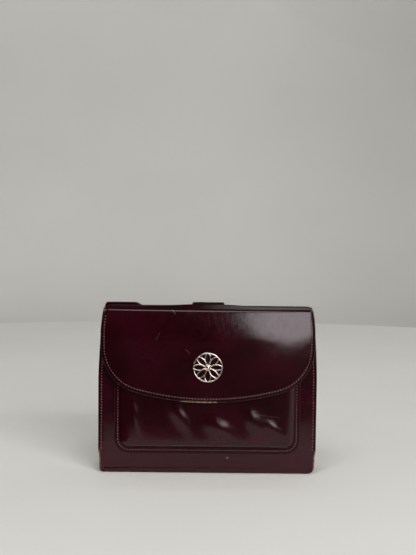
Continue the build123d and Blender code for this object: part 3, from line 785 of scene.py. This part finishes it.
def pocket_height(x, z):
    """How far the coin pocket's moulded leather stands out from its flange."""
    x1, z0 = POCKET_HIGH[0], POCKET_LOW[2]
    corner = POCKET_CORNER_R
    qx = np.maximum(np.abs(x) - (x1 - corner), 0)
    qz = np.maximum(z0 + corner - z, 0)
    away = corner - np.hypot(qx, qz)
    away = np.where((qx > 0) & (qz > 0), away, np.minimum(x1 - np.abs(x), z - z0))
    t = np.clip((away - 2.6) / 5.8, 0, 1)
    rise = 1 - (1 - t) ** 2.2
    plateau = (FRONT_LOW[1] - LEATHER - POCKET_LOW[1]) - 3.2 * (np.abs(x) / 64) ** 2.4
    belly = 0.8 * np.exp(-(((z - 17) / 14) ** 2)) * (1 - (x / 60) ** 2)
    waves = [
        (-42, 37, 2.4, 9.0, 0.95, 14),
        (-16, 35, 3.6, 9.0, 0.9, 36),
        (6, 29, 4.4, 8.0, 0.9, 62),
        (38, 28, 2.8, 6.0, 0.6, 45),
        (26, 33, 4.4, 8.0, 0.8, 38),
        (18, 39, 12, 7, -0.2, 0),
    ]
    return rise * (plateau + belly + hills(x, z, waves))


def pocket_surface(u, v):
    """Outer face of the coin pocket's leather."""
    base = FRONT_LOW[1] - LEATHER
    return np.stack([u, base - pocket_height(u, v), v], -1)


def strap_surface():
    """Outer face of the strap: up the back, over the top edge and down inside."""
    bend_r = 1.7
    low = STRAP_LOW[2]
    top = OVER_HIGH[2]
    y_rear, y_tab = STRAP_HIGH[1], TAB_LOW[1]
    up = top - bend_r - low
    across = y_rear - y_tab - 2 * bend_r
    down = top - bend_r - TAB_LOW[2]
    path = profile(
        (y_rear, low), 0, [(up,), (bend_r, -90), (across,), (bend_r, -90), (down,)], low,
    )
    middle = low + up + bend_r * math.pi / 2 + across / 2
    return rolled(path, -1), middle, path[0][-1]


# ---------------------------------------------------------------- outlines
def flap_half(v):
    """Half width of the flap and its bridge at v above the corners."""
    return FLAP_HIGH[0] - (FLAP_HIGH[0] - BRIDGE_HIGH[0] - 0.8) * smooth(v, 82, BRIDGE_V + 4)


def flap_sides(inset=0.0, top=FLAP_V):
    """Outline of the flap with its bridge, in flat coordinates."""
    half, low = FLAP_HIGH[0] - inset, FLAP_LOW[2] + inset
    arc_r, corner_r = FLAP_ARC_R - inset, FLAP_CORNER_R - inset
    hub = low + arc_r
    corner_z = hub - math.sqrt((arc_r - corner_r) ** 2 - (half - corner_r) ** 2)
    meet = math.degrees(math.atan2(corner_z - hub, half - corner_r))
    right_arc = arc(half - corner_r, corner_z, corner_r, meet, 0, 40)
    low_right = arc(0, hub, arc_r, -90, meet, 60) + right_arc[:20]
    bottom = [(-u, v) for u, v in reversed(low_right)] + low_right[1:]
    heights = np.linspace(corner_z, top, 80)
    right = right_arc[19:] + [(flap_half(v) - inset, v) for v in heights[1:]]
    end = right[-1][0]
    return mirrored(bottom, right, [(end, top), (-end, top)])


def cover_sides(side, v_start, top):
    """Outline of a cover with its half of the spine, in flat coordinates."""
    wide, at_top = FRONT_HIGH[0], BACK_HIGH[0] - (2.2 if side > 0 else 1.6)
    low_r = {1: (4.5, 2.6), -1: (2.6, 4.5)}[side]  # bottom corner radius at u > 0 and at u < 0

    def edge(radius):
        line = [(wide - 0.7 - radius, v_start), (wide - 0.7 - radius, FOLD_R * (1 - math.pi / 2))]
        line += [(wide - 0.7 - radius * (1 - math.sin(a)), radius * (1 - math.cos(a)))
                 for a in np.radians(np.linspace(20, 90, 12))]
        line += [(wide - 0.55, 10.6), (wide - 0.15, 11.9), (wide, 13.5), (wide, TAPER_Z)]
        bow = [(wide + (at_top - wide) * ((v - TAPER_Z) / (top - TAPER_Z)) ** 1.35, v)
               for v in np.linspace(TAPER_Z, top - 3.5, 20)[1:]]
        return line + bow

    top_r = 3.5 if side > 0 else 2.0
    corner = arc(at_top - top_r + 0.2, top - top_r, top_r, 0, 90)
    right = edge(low_r[0]) + corner[:12]
    left = [(-u, v) for u, v in reversed(edge(low_r[1]) + corner[:12])]
    across = corner[11:] + [(-u, v) for u, v in reversed(corner[11:])]
    bottom = [(left[-1][0], v_start), (right[0][0], v_start)]
    return bottom, right, across, left


# ---------------------------------------------------------------- the wallet's pieces
def open_line(sides, cells, inset, v_max, dense=()):
    """The line that runs down the left side, along the bottom and up the right at an inset."""
    cols, rows = cells
    loop, counts = outline_loop(sides, cells, dense)
    moved = loop_inset(loop, counts, inset, (0, 0, 0, 0))
    line = np.vstack([moved[2 * cols + rows:], moved[: cols + rows]])
    return line[line[:, 1] < v_max]


def add_flap(leather, lining, threads, metal):
    """Hanging flap, crease and bridge; lining; seam; emblem."""
    surface = flap_surface()
    cells = (128, 74)
    dense = ((CREASE_V - 1, BRIDGE_V + 1, 6.0),)
    cut_top = (0, 0, 1, 0)
    crease = ("flap_bridge", "flap"), (FLAP_LOW[1] + 4.8, 96.4), (FLAP_LOW[1] + 2.8, 94.0)
    outer = sheet(flap_sides(), cells, surface, rim(FLAP_THICK, 0.75, 0.13, 0.22), 0.0, cut_top, dense)
    bending(*crease, "flap_sheet", [outer], leather, "flap_leather", "flap_bridge_leather")
    lining_rim = rim(FLAP_LINING, 0.15)
    inner = sheet(flap_sides(1.6), cells, surface, lining_rim, FLAP_THICK - 0.02, cut_top, dense)
    bending(*crease, "flap_lining_sheet", [inner], lining, "flap_lining", "flap_bridge_lining")
    seam = open_line(flap_sides(), cells, 2.25, CREASE_V - 2.5, dense)
    rigid("flap", "flap_seam", stitches(seam, sunk(surface, 0.12)), threads, "flap_stitching")
    rigid("flap", "emblem_rosette", rosette(surface), metal, "emblem")


def rosette(surface):
    """Openwork badge of generic loops in a ring, laid on the flap."""
    radius = (EMBLEM_HIGH[0] - EMBLEM_LOW[0]) / 2
    wire = 0.4
    patches = []

    def lay(points, wide, tall, lift):
        u, v = points[0], points[1] + EMBLEM_Z
        up = -inward(surface, u, v)
        patches.append(hoop(surface(u, v) + up * lift, up, wide, tall))

    lay(np.array(turn_points(96)) * (radius - wire), wire, wire, 0.3)
    petals, long, short = 8, 3.3, 1.62
    cosines, sines = turn_points(44)
    along = radius - wire - long + long * cosines
    across = short * sines
    for i, (c, s) in enumerate(zip(*turn_points(petals))):
        petal = along * c - across * s, along * s + across * c
        lay(petal, wire * 0.85, wire, 0.34 + 0.12 * (i % 2))
    centre = surface(np.array([0.0]), np.array([EMBLEM_Z]))[0]
    patches.append(dome(centre, (0, -1, 0.0001), 1.35, 0.85))
    return patches


def add_root(leather, threads):
    """The flap's sewn end behind the front lining, with its seam."""
    surface, end_v = root_surface()
    low, half = ROOT_LOW[2], ROOT_HIGH[0]
    top_half = BRIDGE_HIGH[0]
    corner = arc(half - 3, low + 3, 3, -45, 0, 8)
    right = corner + [(half, 94.5), (top_half, 96.6), (top_half, end_v)]
    bottom = [(-u, v) for u, v in arc(half - 3, low + 3, 3, -45, -90, 8)]
    bottom += [(-u, v) for u, v in reversed(bottom)]
    sides = mirrored(bottom, right, [(top_half, end_v), (-top_half, end_v)])
    dense = ((95.6, end_v, 5.0),)
    body = sheet(sides, (110, 26), surface, rim(LEATHER, EDGE_R), cut=(0, 0, 1, 0), dense=dense)
    y_face = ROOT_HIGH[1]
    bend = ("front_half", "flap_bridge"), (y_face, 95.7), (y_face - 1.9, 97.6)
    bending(*bend, "flap_root_sheet", [body], leather, "flap_root")
    z = low + 1.7
    seam = stitches([(-56.5, z), (56.5, z)], surface)
    rigid("front_half", "flap_root_seam", seam, threads, "flap_root_stitching")


def add_covers(leather, threads):
    """Front and back cover, each with its bottom fold and half of the spine, and their seams."""
    for side, half, nodes in (
        (1, "front", ("front_cover", "spine_cover")),
        (-1, "back", ("back_cover",)),
    ):
        body = half + "_half"
        surface, v_start = cover_surface(side)
        top = (FRONT_HIGH if side > 0 else BACK_HIGH)[2]
        y_face = FRONT_LOW[1] if side > 0 else BACK_HIGH[1]
        sides = cover_sides(side, v_start, top)
        cells = (112, 100)
        dense = ((-1.6, 2.2, 5.0),)
        cover = sheet(sides, cells, surface, rim(LEATHER, EDGE_R, 0.1), 0.0, (1, 0, 0, 0), dense)
        fold = (body, "spine"), (y_face, 2.1), (y_face + side * 1.8, 0.0)
        bending(*fold, half + "_cover_sheet", [cover], leather, *nodes)
        line = open_line(sides, cells, SEAM_INSET, top - 3.0, dense)
        rows = []
        for sign in (-1, 1):
            row = line[(line[:, 0] * sign > 50) & (line[:, 1] > 13.5)]
            rows += stitches(row, surface, wide=0.3, tall=0.22)
        rigid(body, half + "_cover_seam", rows, threads, half + "_edge_stitching")


def add_pocket(leather, cloth, threads):
    """Coin pocket: moulded leather, its lining, the lining behind and the seam."""
    x0, x1, z0, z1 = POCKET_LOW[0], POCKET_HIGH[0], POCKET_LOW[2], POCKET_HIGH[2]
    sides = rounded(x0, x1, z0, z1, POCKET_CORNER_R, 3.0)
    cells = (122, 74)
    body = "front_half"
    shell = sheet(sides, cells, pocket_surface, rim(LEATHER, EDGE_R, 0.08))
    rigid(body, "coin_pocket_sheet", [shell], leather, "coin_pocket_leather")
    inner_sides = rounded(x0 + 5.0, x1 - 5.0, z0 + 5.0, z1 - 0.9, 5.5, 1.5)
    inner = sheet(inner_sides, (90, 50), pocket_surface, rim(0.45, 0.2), LEATHER + 0.01)
    rigid(body, "coin_pocket_lining_sheet", [inner], cloth, "coin_pocket_lining")
    back = slab("coin_pocket_back_lining", 4.0, 0.2, 0.05)
    rigid(body, "coin_pocket_back", [back], cloth, "coin_pocket_back_lining")
    line = open_line(sides, cells, SEAM_INSET, z1 - 2.5)
    seam = stitches(line, sunk(pocket_surface, 0.06), wide=0.26)
    rigid(body, "coin_pocket_seam", seam, threads, "coin_pocket_stitching")


def slab(node, corner_r, edge_r, wave=0.12, facing=1, limits=None):
    """A thin upright panel from a CAD node's box, slightly waved. facing 1 looks to the front."""
    low, high = limits or extent(node)
    y_face = low[1] if facing > 0 else high[1]
    thick = high[1] - low[1]
    phase = DRAW.uniform(0, 6)
    z_mid, z_half = (low[2] + high[2]) / 2, (high[2] - low[2]) / 2

    def surface(u, v):
        dip = wave * np.sin(u / 17 + phase) * np.sin(v / 13 + phase * 2)
        dip = dip * np.clip(1 - ((v - z_mid) / z_half) ** 2, 0, 1)
        return np.stack([facing * u, y_face + dip, v], -1)

    x0, x1 = (low[0], high[0]) if facing > 0 else (-high[0], -low[0])
    sides = rounded(x0, x1, low[2], high[2], corner_r, corner_r)
    cells = (max(8, int((x1 - x0) / 2)), max(8, int((high[2] - low[2]) / 2)))
    return sheet(sides, cells, surface, rim(thick, edge_r))


def level_slab(node, corner_r, edge_r):
    """A thin panel that lies level, face up."""
    low, high = extent(node)

    def surface(u, v):
        return np.stack([u, v, np.full(np.shape(u), high[2])], -1)

    sides = rounded(low[0], high[0], low[1], high[1], corner_r, corner_r)
    cells = (max(6, int((high[0] - low[0]) / 2)), 8)
    return sheet(sides, cells, surface, rim(high[2] - low[2], edge_r))


def add_inside(lining, cloth, threads):
    """Linings, bound edges, slip pocket, card slots, divider and the spine's inner strip."""
    panels = [("front_lining", "front_half", 2.5, -1), ("slip_pocket", "front_half", 2.0, -1),
              ("back_lining", "back_half", 2.5, 1)]
    panels += [("card_slot_%d" % number, "back_half", 1.6, 1) for number in (1, 2, 3, 4)]
    for node, body, corner, facing in panels:
        low, high = extent(node)
        panel = slab(node, corner, min(0.3, (high[1] - low[1]) * 0.42), 0.0, facing)
        rigid(body, node + "_panel", [panel], lining, node)
    divider = slab("bill_divider", 2.0, 0.2, 0.12)
    rigid("back_half", "bill_divider_panel", [divider], cloth, "bill_divider")
    for node, body in (("front_binding", "front_half"), ("back_binding", "back_half")):
        low, high = extent(node)
        up_to = np.array([low[0] + BINDING, high[1], high[2] - BINDING + 0.2])
        left = slab(node, 0.7, 0.5, 0.0, 1, (low, up_to))
        over = slab(node, 0.7, 0.5, 0.0, 1, (np.array([low[0], low[1], high[2] - BINDING]), high))
        rigid(body, node + "_edge", [left, over], lining, node)
    for node, corner, edge in (("spine_lining", 1.0, 0.2), ("spine_rim", 0.6, 0.5)):
        rigid("spine", node + "_strip", [level_slab(node, corner, edge)], lining, node)
    low, high = extent("card_slot_stitching")
    x = (low[0] + high[0]) / 2

    def face(u, v):
        return np.stack([u, np.full(np.shape(u), high[1]), v], -1)

    seam = stitches([(x, low[2]), (x, high[2])], face)
    rigid("back_half", "card_slot_seam", seam, threads, "card_slot_stitching")


def add_strap(leather, lining, threads):
    """Strap in two sheets that meet half way over the top, each with its lining."""
    surface, middle, end = strap_surface()
    half, low, top = STRAP_HIGH[0], STRAP_LOW[2], OVER_HIGH[2]
    y_rear, y_tab = STRAP_HIGH[1], TAB_LOW[1]
    thick = y_rear - STRAP_INNER
    reach = 2.2  # how far from a corner the start and stop points lie
    parts = (
        ("strap_rear", ("back_half", "strap_bridge"), ("strap_root", "strap_bridge"),
         rounded(-half, half, low, middle, 5.0, 0.01), (0, 0, 1, 0),
         (y_rear, top - reach), (y_rear - reach, top)),
        ("strap_tab", ("strap_bridge", "strap_end"), ("strap_end",),
         rounded(-half, half, middle, end, 0.01, 8.0), (1, 0, 0, 0),
         (y_tab + reach, top), (y_tab, top - reach)),
    )
    dense = ((middle - 9, middle + 9, 3.0),)
    for name, bodies, stretches, sides, cut, start, stop in parts:
        for layer, kind, rings, depth in (
            ("leather", leather, rim(0.95, 0.4), 0.0),
            ("lining", lining, rim(thick - 0.97, 0.18), 0.96),
        ):
            band = sheet(sides, (26, 44), surface, rings, depth, cut, dense)
            nodes = [stretch + "_" + layer for stretch in stretches]
            bending(bodies, start, stop, name + "_" + layer, [band], kind, *nodes)
    x, z0, z1 = half - 1.8, low + 4.2, low + 16
    box = [(-x, z1), (-x, z0), (x, z0), (x, z1), (-x, z1)]
    rows = []
    for a, b in zip(box[:-1], box[1:]):
        rows += stitches([a, b], surface)
    rigid("back_half", "strap_seam", rows, threads, "strap_stitching")


def finish_cad_nodes(metal, washer, fibre):
    """Materials of the CAD nodes that stay."""
    for name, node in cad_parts.items():
        for word, material in (("snap_", metal), ("emblem_washers", washer), ("_board", fibre)):
            if word in name:
                node.data.materials.clear()
                node.data.materials.append(material)


# ---------------------------------------------------------------- stage, light, camera
def stage_mesh(name, points, faces, material, **seen):
    """A stage object in metres, with its ray visibility."""
    mesh = bpy.data.meshes.new(name)
    mesh.from_pydata(points, [], faces)
    mesh.shade_smooth()
    made = bpy.data.objects.new(name, mesh)
    bpy.context.scene.collection.objects.link(made)
    made.data.materials.append(material)
    for key, value in seen.items():
        setattr(made, key, value)


def pale_material(name, shaded):
    """Pale matt table or wall, a little uneven; shaded adds painted shade, darker to the top and the right.
    """
    s = Shade(name)
    place = s.add("TexCoord").outputs["Object"]
    x, _, z = s.split(place)
    cloud = s.noise(place, 3.0, 3)
    tone = s.mix(s.ramp(cloud, 0.3, 0.7), (0.77, 0.765, 0.725, 1), (0.81, 0.805, 0.765, 1))
    if shaded:
        # Painted shade on the wall: darker towards the top and towards the right.
        tone = s.mix(s.ramp(z, 0.02, 0.45, 0.22, 0.42), tone, (0.3, 0.298, 0.285, 1))
        tone = s.mix(s.ramp(x, 0.0, 0.5, 0.0, 0.4), tone, (0.3, 0.298, 0.285, 1))
    return s.finish(Base_Color=tone, Roughness=0.7, Normal=s.bump(s.noise(place, 900, 2), 0.02, 0.3))


def add_stage():
    """Floor that sweeps up into a round backdrop, and a dark floor that only reflections see."""
    sides, radius, sweep = 96, 1.25, 0.45
    points = [(0.0, 0.0, 0.0)]
    section = [(radius - sweep, 0.0)]
    section += [(radius - sweep + sweep * math.sin(a), sweep * (1 - math.cos(a)))
                for a in np.radians(np.linspace(9, 90, 10))]
    section += [(radius, 1.2)]
    turns = [2 * math.pi * i / sides for i in range(sides)]
    for out, up in section:
        points += [(out * math.cos(a), out * math.sin(a), up) for a in turns]
    disc, wall = [], []
    for i in range(sides):
        n = (i + 1) % sides
        disc.append((0, 1 + i, 1 + n))
        for r in range(len(section) - 1):
            a, b = 1 + r * sides, 1 + (r + 1) * sides
            wall.append((a + i, b + i, b + n, a + n))
    stage_mesh("studio_floor", points, disc, pale_material("pale_floor", False))
    stage_mesh("studio_wall", points, wall, pale_material("pale_wall", True), visible_glossy=False)
    dark = Shade("dark_card").finish(Base_Color=(0.012, 0.011, 0.011, 1), Roughness=0.9)
    # The card lies in front of the wallet and along its left, so that only the near floor
    # shines in the leather.
    near, far, left, right, up = -0.122, -1.3, -1.3, 0.34, 0.0015
    beside, behind = -0.075, 0.4
    stage_mesh(
        "dark_card",
        [(left, far, up), (right, far, up), (right, near, up), (beside, near, up),
         (beside, behind, up), (left, behind, up)],
        [(0, 1, 2, 3, 4, 5)], dark, visible_camera=False, visible_diffuse=False,
        visible_shadow=False, visible_transmission=False,
    )


def add_light(name, place, target, size, power, tone=(1, 1, 1), glossy=True):
    """A rectangular area light that looks at target."""
    data = bpy.data.lights.new(name, "AREA")
    data.shape = "RECTANGLE"
    data.size, data.size_y = size
    data.energy = power
    data.color = tone
    made = bpy.data.objects.new(name, data)
    bpy.context.scene.collection.objects.link(made)
    made.location = place
    direction = np.array(target, float) - np.array(place, float)
    made.rotation_euler = Vector(direction).to_track_quat("-Z", "Y").to_euler()
    made.visible_camera = False
    made.visible_glossy = glossy


def add_lights():
    """A window in front at the right, a weak fill and a soft ceiling."""
    world = bpy.data.worlds.new("room")
    world.use_nodes = True
    background = world.node_tree.nodes["Background"]
    background.inputs[0].default_value = (0.55, 0.5, 0.6, 1)
    background.inputs[1].default_value = 0.02
    bpy.context.scene.world = world
    low = (0, 0, 0.05)
    add_light("window", (0.53, -1.1, 0.5), low, (0.64, 0.84), 13.0, (1.0, 0.96, 0.99))
    add_light("key", (0.85, -1.0, 0.6), low, (0.5, 0.4), 48.0, (1.0, 0.98, 0.95), glossy=False)
    add_light("ceiling", (-0.1, -0.65, 1.3), (0, -0.1, 0), (0.9, 0.7), 8.5)
    add_light("back_room", (0.58, 1.0, 0.62), (0.1, 0, 0.1), (1.2, 0.5), 0.5)
    add_light("wall_light", (0, 0.3, 1.1), (0, 1.25, 0.45), (1.2, 0.4), 3.2, glossy=False)


def add_camera():
    """From the front, a little above, looking slightly down and rolled by half a degree."""
    data = bpy.data.cameras.new("camera")
    data.sensor_width = 36.0
    data.lens = 58.38
    made = bpy.data.objects.new("camera", data)
    bpy.context.scene.collection.objects.link(made)
    made.location = (-0.0004, -0.5225, 0.1458)
    look = Euler((math.radians(90 - 3.52), 0, 0)).to_matrix().to_4x4()
    roll = Matrix.Rotation(math.radians(0.6), 4, "Z")
    place = Matrix.Translation(made.location)
    made.matrix_world = place @ look @ roll
    data.clip_start = 0.01
    bpy.context.scene.camera = made


# ---------------------------------------------------------------- the whole scene
flap_marks = (
    ((-27.5, 82.8), (-29.4, 79.0), 0.4, 0.1),
    ((-12.6, 73.7), (-10.4, 71.5), 0.4, 0.14),
    ((-20.6, 97.0), (-19.0, 94.2), 0.5, 0.28),
    ((-34.0, 96.4), (42.0, 96.4), 0.6, 0.04),
)
flap_wear = (
    ((-14.5, 43.2), (4.5, 43.0)),
    ((-60.2, 95.5), (-59.5, 98.5)),
    ((60.2, 96.0), (59.5, 100.0)),
)
cover_wear = (((-62.6, 1.0), (-62.9, 12.5)), ((62.6, 1.0), (62.9, 12.5)))
pocket_marks = (((26.7, 36.3), (40.9, 34.4), 0.35, 0.09),)
cover_marks = (((11.7, 9.2), (12.1, 9.2), 0.7, 0.9),)
flap_leather = outer_leather("flap_leather", flap_marks, flap_wear), "outer_leather"
pocket_leather = outer_leather("pocket_leather", pocket_marks), "outer_leather"
cover_leather = outer_leather("cover_leather", cover_marks, cover_wear), "outer_leather"
lining_kind = lining_leather(), "lining_leather"
cloth_kind = lining_cloth(), "lining_cloth"
thread_kind = thread(), "thread"

add_flap(flap_leather, lining_kind, thread_kind, (silver(), "silver_metal"))
add_root(flap_leather, thread_kind)
add_covers(cover_leather, thread_kind)
add_pocket(pocket_leather, cloth_kind, thread_kind)
add_inside(lining_kind, cloth_kind, thread_kind)
add_strap(cover_leather, lining_kind, thread_kind)
finish_cad_nodes(snap_metal(), hidden_silver(), board())
add_stage()
add_lights()
add_camera()
bpy.context.scene.view_settings.view_transform = "Standard"

bpy.context.view_layer.update()
